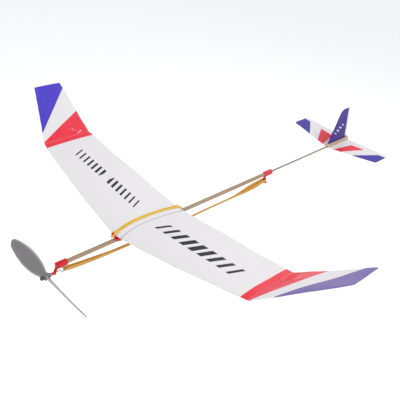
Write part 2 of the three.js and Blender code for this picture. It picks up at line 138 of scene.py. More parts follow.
# ---- materials ----
class Wire:
    """A number or a colour inside a material. Arithmetic on wires adds Math nodes."""

    def __init__(self, tree, socket):
        self.tree = tree
        self.socket = socket

    def math(self, operation, *others, clamp=False):
        node = self.tree.nodes.new("ShaderNodeMath")
        node.operation = operation
        node.use_clamp = clamp
        for socket, value in zip(node.inputs, (self, *others)):
            feed(self.tree, value, socket)
        return Wire(self.tree, node.outputs[0])

    def __add__(self, other):
        return self.math("ADD", other)

    def __sub__(self, other):
        return self.math("SUBTRACT", other)

    def __mul__(self, other):
        return self.math("MULTIPLY", other)

    def __truediv__(self, other):
        return self.math("DIVIDE", other)

    def abs(self):
        return self.math("ABSOLUTE")

    def floor(self):
        return self.math("FLOOR")

    def fract(self):
        return self.math("FRACT")

    def higher(self, other):
        return self.math("MAXIMUM", other)

    def inverse(self):
        return (self * -1).math("ADD", 1.0, clamp=True)

    def above(self, edge, soft=0.12):
        """1 where the wire is above edge, with a soft step that is soft wide."""
        return ((self - edge) / soft).math("ADD", 0.5, clamp=True)

    def below(self, edge, soft=0.12):
        return self.above(edge, soft).inverse()

    def within(self, low, high, soft=0.12):
        return self.above(low, soft) * self.below(high, soft)


def feed(tree, value, socket):
    if isinstance(value, Wire):
        tree.links.new(value.socket, socket)
    else:
        socket.default_value = value


class Paint:
    """A material's node tree with a Principled shader and short ways to add to it."""

    def __init__(self, name):
        self.material = bpy.data.materials.new(name)
        self.material.use_nodes = True
        self.tree = self.material.node_tree
        self.shader = self.tree.nodes["Principled BSDF"]
        self.heights = []

    def set(self, **values):
        for name, value in values.items():
            socket = self.shader.inputs[name.replace("_", " ").title().replace("Ior", "IOR")]
            feed(self.tree, value, socket)

    def attribute(self, name):
        """The three numbers of a mesh attribute."""
        node = self.tree.nodes.new("ShaderNodeAttribute")
        node.attribute_name = name
        parts = self.tree.nodes.new("ShaderNodeSeparateXYZ")
        self.tree.links.new(node.outputs["Vector"], parts.inputs[0])
        return [Wire(self.tree, socket) for socket in parts.outputs]

    def place(self, scale):
        """Position on the piece, stretched by scale, as a vector socket."""
        source = self.tree.nodes.new("ShaderNodeTexCoord")
        mapping = self.tree.nodes.new("ShaderNodeMapping")
        mapping.inputs["Scale"].default_value = scale
        self.tree.links.new(source.outputs["Object"], mapping.inputs["Vector"])
        return mapping.outputs["Vector"]

    def noise(self, scale, detail=3.0, roughness=0.5, distortion=0.0):
        node = self.tree.nodes.new("ShaderNodeTexNoise")
        node.inputs["Scale"].default_value = 1.0
        node.inputs["Detail"].default_value = detail
        node.inputs["Roughness"].default_value = roughness
        node.inputs["Distortion"].default_value = distortion
        self.tree.links.new(self.place(scale), node.inputs["Vector"])
        return Wire(self.tree, node.outputs["Fac"])

    def cells(self, scale):
        """Soft-edged cells, as distances from their middles."""
        node = self.tree.nodes.new("ShaderNodeTexVoronoi")
        node.feature = "SMOOTH_F1"
        node.inputs["Scale"].default_value = 1.0
        self.tree.links.new(self.place(scale), node.inputs["Vector"])
        return Wire(self.tree, node.outputs["Distance"])

    def mix(self, share, first, second):
        """Colour between first and second. Each is a colour or another mix."""
        node = self.tree.nodes.new("ShaderNodeMix")
        node.data_type = "RGBA"
        feed(self.tree, share, node.inputs["Factor"])
        for socket, value in ((node.inputs[6], first), (node.inputs[7], second)):
            feed(self.tree, value if isinstance(value, Wire) else (*value, 1.0), socket)
        return Wire(self.tree, node.outputs[2])

    def bump(self, height, distance, strength=1.0):
        """Relief whose height wire is in units of distance, in metres."""
        node = self.tree.nodes.new("ShaderNodeBump")
        node.inputs["Distance"].default_value = distance
        node.inputs["Strength"].default_value = strength
        feed(self.tree, height, node.inputs["Height"])
        if self.heights:
            self.tree.links.new(self.heights[-1], node.inputs["Normal"])
        self.heights.append(node.outputs["Normal"])
        self.tree.links.new(node.outputs["Normal"], self.shader.inputs["Normal"])


def even(scale):
    return (scale, scale, scale)


def scaled(color, share):
    """The colour made darker, or paler up to full strength."""
    return tuple(min(1, share * part) for part in color)


WHITE_FOAM = (0.87, 0.85, 0.86)
SHADED_FOAM = (0.78, 0.78, 0.81)
# Dark red for painted shade in the port tip's crumple.
CRUMPLE_SHADE_RED = (0.62, 0.03, 0.02)
# Paler red for the painted highlight along the wing's folds.
FOLD_HIGHLIGHT_RED = (0.95, 0.3, 0.32)
RED_PRINT = (0.93, 0.04, 0.072)
BLUE_PRINT = (0.085, 0.055, 0.64)
# White for painted glints beside the starboard fold.
GLINT_WHITE = (1.0, 0.86, 0.86)
NAVY_PRINT = (0.065, 0.035, 0.3)
BLACK_PRINT = (0.018, 0.018, 0.02)
# Grey for the painted shadow where the wing sheet bends over the seat's edge.
BEND_SHADOW_GREY = (0.5, 0.48, 0.53)
TAIL_BLUE = (0.06, 0.04, 0.4)
# Paler blue for the port tip: partly painted sheen of the glossy print seen at a grazing angle, partly
# wear.
SHEEN_AND_WEAR_BLUE = (0.176, 0.125, 0.444)
# Dark blue for painted shade along a crease in the port tip.
TIP_CREASE_SHADE_BLUE = (0.13, 0.02, 0.24)
# Near black for the painted shadow at the fin's rear foot.
FOOT_SHADE = (0.02, 0.008, 0.04)


def foam_material(name, layers, shine=0.25):
    """Foam sheet with a glossy print on the faces that its sheet attribute marks with a 1.

    layers(span, along) gives the print as (color, mask) pairs, from the sheet's own two
    coordinates in millimetres: span outboard to port, or up on the fin, and along forward.
    """
    paint = Paint(name)
    span, along, face = paint.attribute("sheet")
    printed = face.above(0.5, 0.2)
    fade = paint.noise(even(60), detail=4.0)
    color = paint.mix(fade * 0.35, WHITE_FOAM, SHADED_FOAM)
    inked = None
    speckle = paint.noise(even(900), detail=2.0).above(0.72, 0.04).inverse()
    for ink, mask in layers(span, along):
        cover = mask * printed * (speckle * 0.12 + 0.88)
        shade = paint.mix(fade * 0.3, ink, scaled(ink, 0.72))
        color = paint.mix(cover, color, shade)
        inked = cover if inked is None else inked.higher(cover)
    grain = paint.cells(even(750))
    soft = paint.noise(even(230))
    creases = paint.noise((70, 260, 260), detail=5.0, roughness=0.6, distortion=0.6)
    gloss = inked * -0.16 + 0.5
    paint.set(base_color=color, roughness=gloss + (soft - 0.5) * 0.16)
    paint.set(coat_weight=inked * (0.4 * shine), coat_roughness=0.12, specular_ior_level=shine)
    paint.set(subsurface_weight=0.04, subsurface_radius=even(0.002))
    paint.bump(grain, distance=0.00007, strength=0.6)
    paint.bump(soft, distance=0.0003, strength=0.35)
    paint.bump(creases * (inked * 0.9 + 0.1), distance=0.0005, strength=0.3)
    return paint.material


def wood_material(name, light, dark, fibre):
    """Sanded wood whose fibres run along X. fibre is about how many cross a metre."""
    paint = Paint(name)
    bands = paint.noise((14, fibre, fibre), detail=4.0, roughness=0.6, distortion=0.4)
    pores = paint.noise((90, fibre * 5, fibre * 5), detail=2.0)
    broad = paint.noise((9, 120, 120), detail=2.0)
    share = (bands - 0.32) * 1.9 + (broad - 0.5) * 0.7
    color = paint.mix(share.math("ADD", 0.0, clamp=True), light, dark)
    streaks = pores.above(0.62, 0.1)
    color = paint.mix(streaks * 0.35, color, scaled(dark, 0.45))
    paint.set(base_color=color, roughness=pores * 0.25 + 0.5, specular_ior_level=0.35)
    paint.bump(pores + bands, distance=0.00012, strength=0.7)
    return paint.material


def moulded_material(name, color, roughness, glow=0.04, relief=0.5, shine=0.5, rim=None):
    """Injection-moulded plastic: slight flow marks, fine surface grain and rubbed patches.

    rim is a lighter color on a sheet's thin edges, a painted highlight, where the mesh says how far
    across a point lies.
    """
    paint = Paint(name)
    flow = paint.noise((90, 160, 120), distortion=1.2)
    fine = paint.noise(even(2600), detail=2.0)
    rubbed = paint.noise(even(420), detail=4.0, roughness=0.65)
    tint = paint.mix(flow, scaled(color, 0.86), scaled(color, 1.1))
    if rim is not None:
        across = paint.attribute("sheet")[0]
        # The lighter rim color along the edges is a painted highlight.
        tint = paint.mix(across.abs().above(0.86, 0.2), tint, rim)
    paint.set(base_color=tint, roughness=rubbed * 0.22 + (roughness - 0.11))
    paint.set(subsurface_weight=glow, subsurface_radius=(0.002, 0.001, 0.001), specular_ior_level=shine)
    paint.bump(fine, distance=0.00003, strength=relief)
    paint.bump(flow, distance=0.0003, strength=0.15)
    return paint.material


def rubber_material(name, light, dark, glow):
    """Soft rubber strip with lengthwise draw marks and a dusting of talc."""
    paint = Paint(name)
    draw = paint.noise((25, 2600, 2600), detail=2.0)
    cloudy = paint.noise((60, 300, 300), detail=4.0)
    talc = paint.noise(even(1500)).above(0.6, 0.15)
    color = paint.mix(cloudy, light, dark)
    color = paint.mix(talc * 0.08, color, (0.9, 0.8, 0.6))
    paint.set(base_color=color, roughness=talc * 0.2 + 0.42)
    paint.set(subsurface_weight=glow, subsurface_radius=(0.004, 0.002, 0.001))
    paint.bump(draw, distance=0.00008, strength=0.5)
    return paint.material


def steel_material(name, stretch, roughness):
    """Slightly dull steel with fine drawing or stamping marks."""
    paint = Paint(name)
    marks = paint.noise(stretch)
    stain = paint.noise(even(500))
    color = paint.mix(stain, (0.4, 0.4, 0.41), (0.28, 0.27, 0.26))
    paint.set(base_color=color, metallic=1.0, roughness=marks * 0.25 + (roughness - 0.12))
    paint.bump(marks, distance=0.00002, strength=0.6)
    return paint.material


# ---- mesh helpers ----
WELD = 0.002 * MM  # points nearer than this are one point


def to_row(points):
    """This script's millimetres as metres in the part's frame."""
    return np.asarray(points, float) * MM + ORIGIN


def from_row(corner):
    """The opposite of to_row(), for one point."""
    return (np.array(corner) - ORIGIN) / MM


@contextmanager
def editing(mesh):
    """The mesh as a bmesh, written back afterwards."""
    work = bmesh.new()
    work.from_mesh(mesh)
    yield work
    work.to_mesh(mesh)
    work.free()


def mesh_object(name, points, faces, material, smooth=False):
    """Mesh object from points in metres, with its faces turned outwards."""
    mesh = bpy.data.meshes.new(name)
    mesh.from_pydata([tuple(point) for point in points], [], faces)
    mesh.materials.append(material)
    with editing(mesh) as work:
        if len(faces) > 1:
            bmesh.ops.recalc_face_normals(work, faces=work.faces)
        for face in work.faces:
            face.smooth = smooth
    piece = bpy.data.objects.new(name, mesh)
    bpy.context.scene.collection.objects.link(piece)
    return piece


def grid_faces(rows, columns, start=0, loop=False):
    """Quads of a grid of points stored row by row. With loop, the last column meets the first."""
    faces = []
    for row in range(rows - 1):
        for column in range(columns if loop else columns - 1):
            after = (column + 1) % columns
            a = start + row * columns
            b = a + columns
            faces.append((a + column, a + after, b + after, b + column))
    return faces


def closing_faces(rows, columns):
    """Quads that join a looped grid's last row to its first."""
    end = (rows - 1) * columns
    return [(end + c, end + (c + 1) % columns, (c + 1) % columns, c) for c in range(columns)]


def plate_object(name, mean, normal, half, material, labels, lower_mark=0.0):
    """Closed sheet round a grid of mean points. half is half the thickness at each point.

    The sheet attribute holds each point's two labels and a mark: 1 on the upper face and
    lower_mark on the lower one.
    """
    rows, columns = half.shape
    upper = mean + normal * half[..., None]
    lower = mean - normal * half[..., None]
    points = np.concatenate([upper.reshape(-1, 3), lower.reshape(-1, 3)])
    count = rows * columns
    faces = grid_faces(rows, columns) + grid_faces(rows, columns, count)
    last = columns - 1
    rim = [(row * columns + column, columns) for row in range(rows - 1) for column in (0, last)]
    rim += [(row * columns + column, 1) for row in (0, rows - 1) for column in range(last)]
    faces += [(a, a + step, a + step + count, a + count) for a, step in rim]
    piece = mesh_object(name, to_row(points), faces, material, smooth=True)
    marked = [np.dstack([labels, np.full(half.shape, mark)]) for mark in (1.0, lower_mark)]
    layer = piece.data.attributes.new("sheet", "FLOAT_VECTOR", "POINT")
    layer.data.foreach_set("vector", np.float32(marked).ravel())
    return piece


def sweep_object(name, path, section, wide, material, closed=False, stretch=None):
    """Section swept along a path. wide[i] points along the section's first axis there.

    stretch[i] widens the section along that axis.
    """
    path = np.asarray(path, float)
    stretch = np.ones(len(path)) if stretch is None else stretch
    if closed:
        along = np.roll(path, -1, 0) - np.roll(path, 1, 0)
    else:
        along = np.gradient(path, axis=0)
    along /= np.linalg.norm(along, axis=1)[:, None]
    wide = np.asarray(wide, float)
    wide = wide - (wide * along).sum(1)[:, None] * along
    wide /= np.linalg.norm(wide, axis=1)[:, None]
    thin = np.cross(along, wide)
    rings = [
        point + section[:, :1] * scale * w + section[:, 1:] * t
        for point, w, t, scale in zip(path, wide, thin, stretch)
    ]
    rows, columns = len(rings), len(section)
    faces = grid_faces(rows, columns, loop=True)
    if closed:
        faces += closing_faces(rows, columns)
    else:
        faces.append(tuple(range(columns)))
        faces.append(tuple(range((rows - 1) * columns, rows * columns)))
    return mesh_object(name, to_row(np.concatenate(rings)), faces, material, smooth=True)


def rounded_section(width, thickness, radius, steps=4):
    """Rectangle with round corners, as points round its outline."""
    points = []
    for corner, (a, b) in enumerate(((1, 1), (-1, 1), (-1, -1), (1, -1))):
        for step in range(steps + 1):
            angle = math.pi / 2 * (corner + step / steps)
            points.append((
                a * (width / 2 - radius) + radius * math.cos(angle),
                b * (thickness / 2 - radius) + radius * math.sin(angle),
            ))
    return np.array(points)


def round_section(radius, sides):
    angles = np.arange(sides) * 2 * np.pi / sides
    return radius * np.column_stack([np.cos(angles), np.sin(angles)])


def turned_object(name, profile, material):
    """Solid turned about the shaft's axis, from a closed profile of (x, radius) points."""
    sides = 48
    angles = np.arange(sides) * 2 * np.pi / sides
    points = [
        (x, radius * math.cos(angle), SHAFT_Z + radius * math.sin(angle))
        for x, radius in profile for angle in angles
    ]
    faces = grid_faces(len(profile), sides, loop=True) + closing_faces(len(profile), sides)
    piece = mesh_object(name, to_row(points), faces, material, smooth=True)
    shade_by_angle(piece, 40)
    return piece


def rim_points(x, radius, steps):
    """Profile points round a turned piece's rim, from (along, inwards) steps off its corner."""
    return [(x + along, radius - inwards) for along, inwards in steps]


def shade_by_angle(piece, degrees):
    """Smooth shading that stays crisp across edges sharper than degrees."""
    piece.data.shade_smooth()
    limit = math.radians(degrees)
    with editing(piece.data) as work:
        for edge in work.edges:
            edge.smooth = len(edge.link_faces) == 2 and edge.calc_face_angle(0) < limit


def apply_modifiers(piece):
    graph = bpy.context.evaluated_depsgraph_get()
    mesh = bpy.data.meshes.new_from_object(piece.evaluated_get(graph))
    piece.modifiers.clear()
    piece.data = mesh


def drop_slivers(piece):
    """Removes the faces of no area that rounding leaves where edges meet."""
    with editing(piece.data) as work:
        bmesh.ops.dissolve_degenerate(work, dist=WELD, edges=work.edges)


def softened(node, name, width, material):
    """Copy of a CAD node with its edges rounded to width, in millimetres, in the node's place."""
    source = frame["nodes"][node]
    mesh = source.data.copy()
    mesh.name = name
    flat = math.radians(1.5)
    with editing(mesh) as work:
        bmesh.ops.remove_doubles(work, verts=work.verts, dist=WELD)
        bmesh.ops.dissolve_limit(
            work, angle_limit=flat, verts=work.verts, edges=work.edges, use_dissolve_boundaries=False)
    mesh.materials.clear()
    mesh.materials.append(material)
    piece = bpy.data.objects.new(name, mesh)
    bpy.context.scene.collection.objects.link(piece)
    bevel = piece.modifiers.new("edge", "BEVEL")
    bevel.width = width * MM
    bevel.segments = 3
    bevel.limit_method = "ANGLE"
    bevel.angle_limit = math.radians(28)
    bevel.use_clamp_overlap = True
    apply_modifiers(piece)
    drop_slivers(piece)
    shade_by_angle(piece, 35)
    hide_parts(node)
    return piece


def finish_piece(piece, body, slot, *nodes):
    """The piece rides on a body and stands for CAD nodes. slot is not used."""
    if nodes:
        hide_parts(*nodes)
    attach(piece, body)


def smoothstep(x):
    x = np.clip(x, 0, 1)
    return x * x * (3 - 2 * x)


def ease(distance, start, reach):
    """0 up to start, then a smooth rise to 1 over reach."""
    return smoothstep((distance - start) / reach)


def lerp(a, b, t):
    return a + (b - a) * t


# ---- foam sheets ----
WING = {
    "thickness": 1.2, "z": 6.9, "centre_half": 8.5,
    "camber": 5.6, "camber_at": 0.34, "fold_camber": 0.7,
    "root_le": 18.0, "root_te": -60.8, "le_bow": 2.0, "fold_y": 150.0, "fold_le": 0.0, "fold_te": -56.6,
    "fold_le_z": 26.6, "fold_te_z": 25.8, "tip_span": 79.6, "tip_le": -32.6, "tip_te": -65.6,
    "port_fold": 35.3, "starboard_fold": 22.3, "root_bend": 2.4, "fold_bend": 3.2, "corner": 0.9,
}
WING_RISE = math.atan2(WING["fold_le_z"] - WING["z"], WING["fold_y"] - WING["centre_half"])
PANEL = math.hypot(WING["fold_le_z"] - WING["z"], WING["fold_y"] - WING["centre_half"])
FOLD_AT = WING["centre_half"] + PANEL
WING_END = FOLD_AT + WING["tip_span"]


def camber_line(t):
    """Thin section's mean line: 0 at both edges and 1 at its highest point."""
    p = WING["camber_at"]
    front = (2 * p * t - t * t) / (p * p)
    rear = (1 - 2 * p + 2 * p * t - t * t) / ((1 - p) ** 2)
    return np.where(t < p, front, rear)


def edge_inset(count, size, length):
    """Shares along an edge, with two extra steps close to each end for the sheet's rim."""
    inner = np.linspace(0, 1, count)[1:-1]
    rim = np.array([0, 0.12, 0.35]) * size / length
    return np.concatenate([rim, inner * (1 - 2 * rim[-1]) + rim[-1], 1 - rim[::-1]])


def rim_factor(count):
    """How thick the sheet is at each share from edge_inset, as a part of its full thickness."""
    factor = np.ones(count)
    factor[[0, -1]] = 0.62
    factor[[1, -2]] = 0.9
    return factor


def bend_line(v, bends):
    """(y, z, angle) of a sheet at distances v from its centre, from (place, width, angle) bends."""
    step = 0.1
    fine = np.arange(0, WING_END + 1, step)
    angle = np.zeros(len(fine))
    for place, width, turn in bends:
        angle += turn * smoothstep((fine - place) / width + 0.5)
    y = np.concatenate([[0], np.cumsum(np.cos(angle[:-1]) * step)])
    z = np.concatenate([[0], np.cumsum(np.sin(angle[:-1]) * step)])
    return np.interp(v, fine, y), np.interp(v, fine, z), np.interp(v, fine, angle)


def both_ways(stretches):
    """Distances from a sheet's centre, negative to starboard, from stretches of its port half."""
    half_span = np.concatenate(stretches)
    return np.concatenate([-half_span[::-1][:-1], half_span])


def corner_inset(v, end, radius):
    """How far the front and rear edges draw in near a sheet's ends, for round corners."""
    near_end = np.clip(np.abs(v) - (end - radius), 0, radius)
    return radius - np.sqrt(radius ** 2 - near_end ** 2)


def sheet_normal(side, angle, x):
    """Upward normals of a sheet that rises outboard at an angle, as a grid like x."""
    rows = np.stack([0 * angle, -side * np.sin(angle), np.cos(angle)], 1)
    return rows[:, None, :] + 0 * x[..., None]


def half_thickness(thickness, rows, columns):
    """Half a sheet's thickness at each point of its grid, less round the rim."""
    return thickness / 2 * rim_factor(columns)[None, :] * rim_factor(rows)[:, None]


def hump(span, along, centre, size, turn=0.0):
    """Smooth bump of height 1 at centre. size is its reach across and along."""
    dx, dy = span - centre[0], along - centre[1]
    c, s = math.cos(turn), math.sin(turn)
    return np.exp(-((c * dx + s * dy) / size[0]) ** 2 - ((c * dy - s * dx) / size[1]) ** 2)


def sheet_waves(span, along):
    """Handling waves of the foam, its buckle at the port fold and its blister at the other one."""
    away = ease(np.abs(span), 14, 40)
    waves = 0.22 * np.sin(span / 17 + along / 23 + 0.6) + 0.16 * np.sin(span / 8.3 - along / 15 + 2.1)
    waves += 0.1 * np.sin(along / 5.2 + span / 31)
    edge = ease(-along, 35, 25)
    waves += 0.35 * edge * np.sin(span / 11.5 + 1.0)
    buckle = -1.5 * hump(span, along, (FOLD_AT + 7, -46), (5, 9), 0.4)
    buckle += 0.8 * hump(span, along, (FOLD_AT + 1, -40), (3, 7), -0.5)
    buckle += 0.5 * hump(span, along, (FOLD_AT + 14, -38), (3, 11), 0.9)
    blister = 0.75 * hump(span, along, (-FOLD_AT - 4.5, -43), (2.0, 5.0), 0.3)
    blister -= 0.35 * hump(span, along, (-FOLD_AT - 11, -40), (2.4, 4.0), 0.2)
    return waves * away + buckle + blister


def wing_layers(span, along):
    """Print of the wing: fold strips, tip triangles, tips and plain slanted bars, with some wear and
    with painted highlights, glints, sheen and shade at the folds and tips.

    The two tips are printed a little differently and carry different painted light, so some lines depend
    on which side is port.
    """
    port = span.above(0.0)
    starboard = port.inverse()
    out = span.abs() - FOLD_AT
    back = along * -1
    strip = out.above(-7.4) * out.below(0.0)
    triangle_slope = port * 0.042 + 0.519
    triangle = out.above(0.0) * (out - back * triangle_slope).below(1.9)
    tip_slope = port * -0.073 + 0.955
    tip = (out - back * tip_slope - port * 4.6).above(8.8)
    red = strip.higher(triangle)
    # Grey line where the sheet's port half bends over the seat's edge: a painted shadow in the bend.
    bend_shadow = (span - WING["centre_half"]).abs().below(0.75, 0.9)
    # Dark red streak across the port tip's crumple: painted shade in its creases.
    crumple_shade = ((out - 8) + (along + 46) * 0.45).abs().below(0.8, 1.6) * out.within(1.5, 15, 3)
    crumple_shade = crumple_shade * along.within(-56, -34, 5) * port
    # Paler red line along each fold's crease: a painted highlight where the bend catches light.
    fold_highlight = (out - 0.2).abs().below(0.35, 0.5) * 0.55
    # White streak and arc beside the starboard fold, by its blister: painted glints on the glossy print.
    glint_line = ((out - 3.4) + (along + 46) * 0.4).abs().below(0.35, 0.7)
    glint_streak = glint_line * along.within(-49.5, -42.5, 1.5) * starboard
    ring = ((out - 8.9) * (out - 8.9) + (along + 42) * (along + 42)).math("SQRT")
    glint_arc = (ring - 1.9).abs().below(0.3, 0.6) * (along + 42.5).above(0.0, 0.8) * starboard * 0.5
    # Dark line across the port tip: painted shade along a crease in the sheet.
    tip_crease_shade = ((back - 21.5) - (out - 44) * 0.31).abs().below(0.4, 1.6)
    tip_crease_shade = tip_crease_shade * out.within(40, 48, 6) * port
    port_row = span - 72.8
    starboard_row = (span + 71.0) * -1
    bars = slanted_bars(port_row, along + 19.5, pitch=11.6, count=9, height=7.2, width=0.31)
    ticks = slanted_bars(starboard_row, along + 23.0, pitch=7.1, count=15, height=6.0, width=0.27)
    gap = (span + 71.0).abs().above(5.0)
    return [
        (RED_PRINT, red),
        (FOLD_HIGHLIGHT_RED, fold_highlight),
        (CRUMPLE_SHADE_RED, crumple_shade * red),
        (GLINT_WHITE, glint_streak.higher(glint_arc)),
        (BLUE_PRINT, tip),
        # The port tip's paler blue is partly painted sheen at a grazing angle and partly wear.
        (SHEEN_AND_WEAR_BLUE, tip * port),
        (TIP_CREASE_SHADE_BLUE, tip_crease_shade),
        (BLACK_PRINT, bars.higher(ticks * gap)),
        (BEND_SHADOW_GREY, bend_shadow),
    ]


def slanted_bars(span, along, pitch, count, height, width):
    """Row of count slanted bars about span 0. The outer ones are narrower."""
    lean = span + along * 0.45
    place = lean / pitch + count / 2
    middle = (place.floor() + 0.5 - count / 2).abs() / (count / 2)
    reach = (middle * -0.55 + 1.0) * width
    bar = (place.fract() - 0.5).abs() - reach
    row = place.above(0.0) * place.below(float(count))
    return bar.below(0.0, 0.02) * along.abs().below(height) * row


def make_wing():
    """The wing: one foam sheet, bowed over the seat, with both tips folded up."""
    w = WING
    v = both_ways([
        np.arange(0, 12, 1.0),
        np.arange(12, FOLD_AT - 8, 1.9),
        np.arange(FOLD_AT - 8, FOLD_AT + 22, 0.6),
        np.arange(FOLD_AT + 22, WING_END - 2, 1.6),
        WING_END - np.array([2.0, 1.3, 0.8, 0.42, 0.15, 0.0]),
    ])
    shares = edge_inset(46, w["thickness"], 60)
    port = v >= 0
    side = np.where(port, 1.0, -1.0)
    root_bend = (w["centre_half"], w["root_bend"], WING_RISE)
    halves = []
    for fold in (w["port_fold"], w["starboard_fold"]):
        tip_bend = (FOLD_AT, w["fold_bend"], math.radians(fold) - WING_RISE)
        halves.append(bend_line(np.abs(v), [root_bend, tip_bend]))
    y, z, angle = [np.where(port, *pair) for pair in zip(*halves)]
    z = z + w["z"]
    across = np.clip(y / w["fold_y"], 0, 1)
    out = np.clip((np.abs(v) - FOLD_AT) / w["tip_span"], 0, 1)
    leading = lerp(w["root_le"], w["fold_le"], across) + w["le_bow"] * 4 * across * (1 - across)
    leading = np.where(out > 0, lerp(w["fold_le"], w["tip_le"], out), leading)
    trailing = lerp(w["root_te"], w["fold_te"], across)
    trailing = np.where(out > 0, lerp(w["fold_te"], w["tip_te"], out), trailing)
    inset = corner_inset(v, WING_END, w["corner"])
    leading = leading - inset + 0.12 * np.sin(v / 2.3) * (np.abs(v) > 20)
    trailing = trailing + inset + 0.14 * np.sin(v / 3.1 + 1)
    panel = np.clip((y - w["centre_half"]) / (w["fold_y"] - w["centre_half"]), 0, 1)
    camber = lerp(w["camber"], w["fold_camber"], panel ** 1.3) * (1 - out)
    x = lerp(leading[:, None], trailing[:, None], shares[None, :])
    drop = (w["fold_te_z"] - w["fold_le_z"]) * panel
    normal = sheet_normal(side, angle, x)
    height = z[:, None] + drop[:, None] * shares[None, :]
    mean = np.dstack([x, (side * y)[:, None] + 0 * x, height])
    span = v[:, None] + 0 * x
    lift = camber[:, None] * camber_line(shares)[None, :] + sheet_waves(span, x)
    mean = mean + normal * lift[..., None]
    half = half_thickness(w["thickness"], len(v), len(shares))
    foam = foam_material("wing_print", wing_layers)
    wing = plate_object("wing_sheet", mean, normal, half, foam, np.dstack([span, x]))
    finish_piece(wing, "wing_group", "printed_foam", "wing")


STAB = {
    "thickness": 1.3, "root_half": 2.3, "half_span": 63.9, "rise": 5.6, "top": -1.17, "corner": 1.5,
    "root_le": -318.6, "root_te": -361.0, "tip_le": -328.8, "tip_te": -355.4,
}


def stab_layers(span, along):
    """Print of the stabilizer: a red patch near the root and a blue one at each tip."""
    out = span.abs()
    back = (along + 320) * -1
    red = (out - back * 0.23).above(8.9) * (out - back * 0.563).below(18.3) * back.below(28.4)
    blue = (out - back * 0.756).above(31.5) * back.below(30.0)
    return [(RED_PRINT, red), (TAIL_BLUE, blue)]


def make_stabilizer():
    """Tailplane sheet, held under the tail block, with a shallow V."""
    s = STAB
    v = both_ways([
        np.arange(0, 5, 0.8),
        np.arange(5, s["half_span"] - 1.5, 1.6),
        s["half_span"] - np.array([1.5, 0.9, 0.42, 0.15, 0]),
    ])
    shares = edge_inset(26, s["thickness"], 36)
    panel = s["half_span"] - s["root_half"]
    from_root = np.abs(v) - s["root_half"]
    out = np.clip(from_root / panel, 0, 1)
    inset = corner_inset(v, s["half_span"], s["corner"])
    leading = lerp(s["root_le"], s["tip_le"], out) - inset
    trailing = lerp(s["root_te"], s["tip_te"], out) + inset
    x = lerp(leading[:, None], trailing[:, None], shares[None, :])
    angle = math.atan2(s["rise"], panel) * smoothstep(from_root / 2.5 + 0.4)
    normal = sheet_normal(np.sign(v), angle, x)
    z = s["top"] - s["thickness"] / 2 + s["rise"] * out
    span = v[:, None] + 0 * x
    ripple = 0.16 * np.sin(span / 9 + x / 13) * ease(np.abs(span), 8, 20)
    mean = np.dstack([x, span, z[:, None] + 0 * x]) + normal * ripple[..., None]
    half = half_thickness(s["thickness"], len(v), len(shares))
    foam = foam_material("stabilizer_print", stab_layers, shine=0.1)
    stab = plate_object("stabilizer_sheet", mean, normal, half, foam, np.dstack([span, x]))
    finish_piece(stab, "fuselage", "printed_foam", "stabilizer")


def bezier(points, steps):
    """Points along one Bezier curve, without its last point."""
    curve = []
    for step in range(steps):
        layer = [np.array(point, float) for point in points]
        while len(layer) > 1:
            layer = [lerp(a, b, step / steps) for a, b in zip(layer, layer[1:])]
        curve.append(layer[0])
    return curve


FIN = {
    "foot": 4.02, "front": -316.8, "rear": -354.9, "top": 47.5, "thickness": 1.0,
    "tab_foot": 2.2, "tab_front": -318.6, "tab_rear": -354.0,
}


def fin_layers(up, along):
    """Print of the fin: navy, with a white strip along its rear edge, plain ticks and a painted shadow
    at its foot.
    """
    rear_edge = (along + 355.0) - (up - 4.0) * 0.155
    strip = rear_edge.below(3.2)
    row = (up - 20.5) * 0.6 - (along + 334.0) * 0.8
    across = (along + 334.0) * 0.6 + (up - 20.5) * 0.8
    ticks = slanted_bars(row, across, pitch=5.2, count=4, height=2.7, width=0.28)
    navy = strip.inverse() * (ticks * 0.75).inverse()
    # Dark patch at the rear of the fin's foot: painted shadow where the fin meets the tail block.
    foot = up.below(7.0, 2.0) * (along + 355.0).below(5.5, 2.0)
    return [(NAVY_PRINT, navy), (FOOT_SHADE, foot)]


def make_fin():
    """Upright fin sheet with a swept front edge. Both its faces are printed."""
    f = FIN
    elbow = (-322.4, 21)
    shoulder = (-331.4, 45)
    crown = (-336.5, f["top"])
    front = bezier([(f["front"], f["foot"]), (-317.6, 10), (-319.4, 15), elbow], 10)
    front += bezier([elbow, (-326, 28), (-326.6, 38), shoulder], 14)
    front += bezier([shoulder, (-333.2, 47.4), crown], 6)
    front = np.array(front + [np.array(crown)])
    levels = np.concatenate([
        [f["tab_foot"], f["foot"] - 0.05],
        np.linspace(f["foot"], 44, 26),
        f["top"] - np.geomspace(3.2, 0.02, 10),
    ])
    rear_levels = [f["foot"], f["foot"] + 0.6, 46.2, f["top"]]
    rear = [f["tab_rear"], f["rear"], -348.2, -346.4]
    lead_x = np.interp(levels, front[:, 1], front[:, 0])
    trail_x = np.interp(levels, rear_levels, rear)
    lead_x[:2] = f["tab_front"]
    shares = edge_inset(24, f["thickness"], 32)
    x = lerp(lead_x[:, None], trail_x[:, None], shares[None, :])
    z = levels[:, None] + 0 * x
    ripple = 0.14 * np.sin(z / 8 + x / 11) * ease(z, 8, 15)
    mean = np.dstack([x, ripple, z])
    normal = np.zeros(mean.shape) + (0, 1, 0)
    factor = np.ones(len(levels))
    factor[-1] = 0.62
    half = f["thickness"] / 2 * rim_factor(len(shares))[None, :] * factor[:, None]
    half[:2] *= 0.9
    foam = foam_material("fin_print", fin_layers, shine=0.1)
    fin = plate_object("fin_sheet", mean, normal, half, foam, np.dstack([z, x]), lower_mark=1.0)
    finish_piece(fin, "fuselage", "printed_foam", "fin")


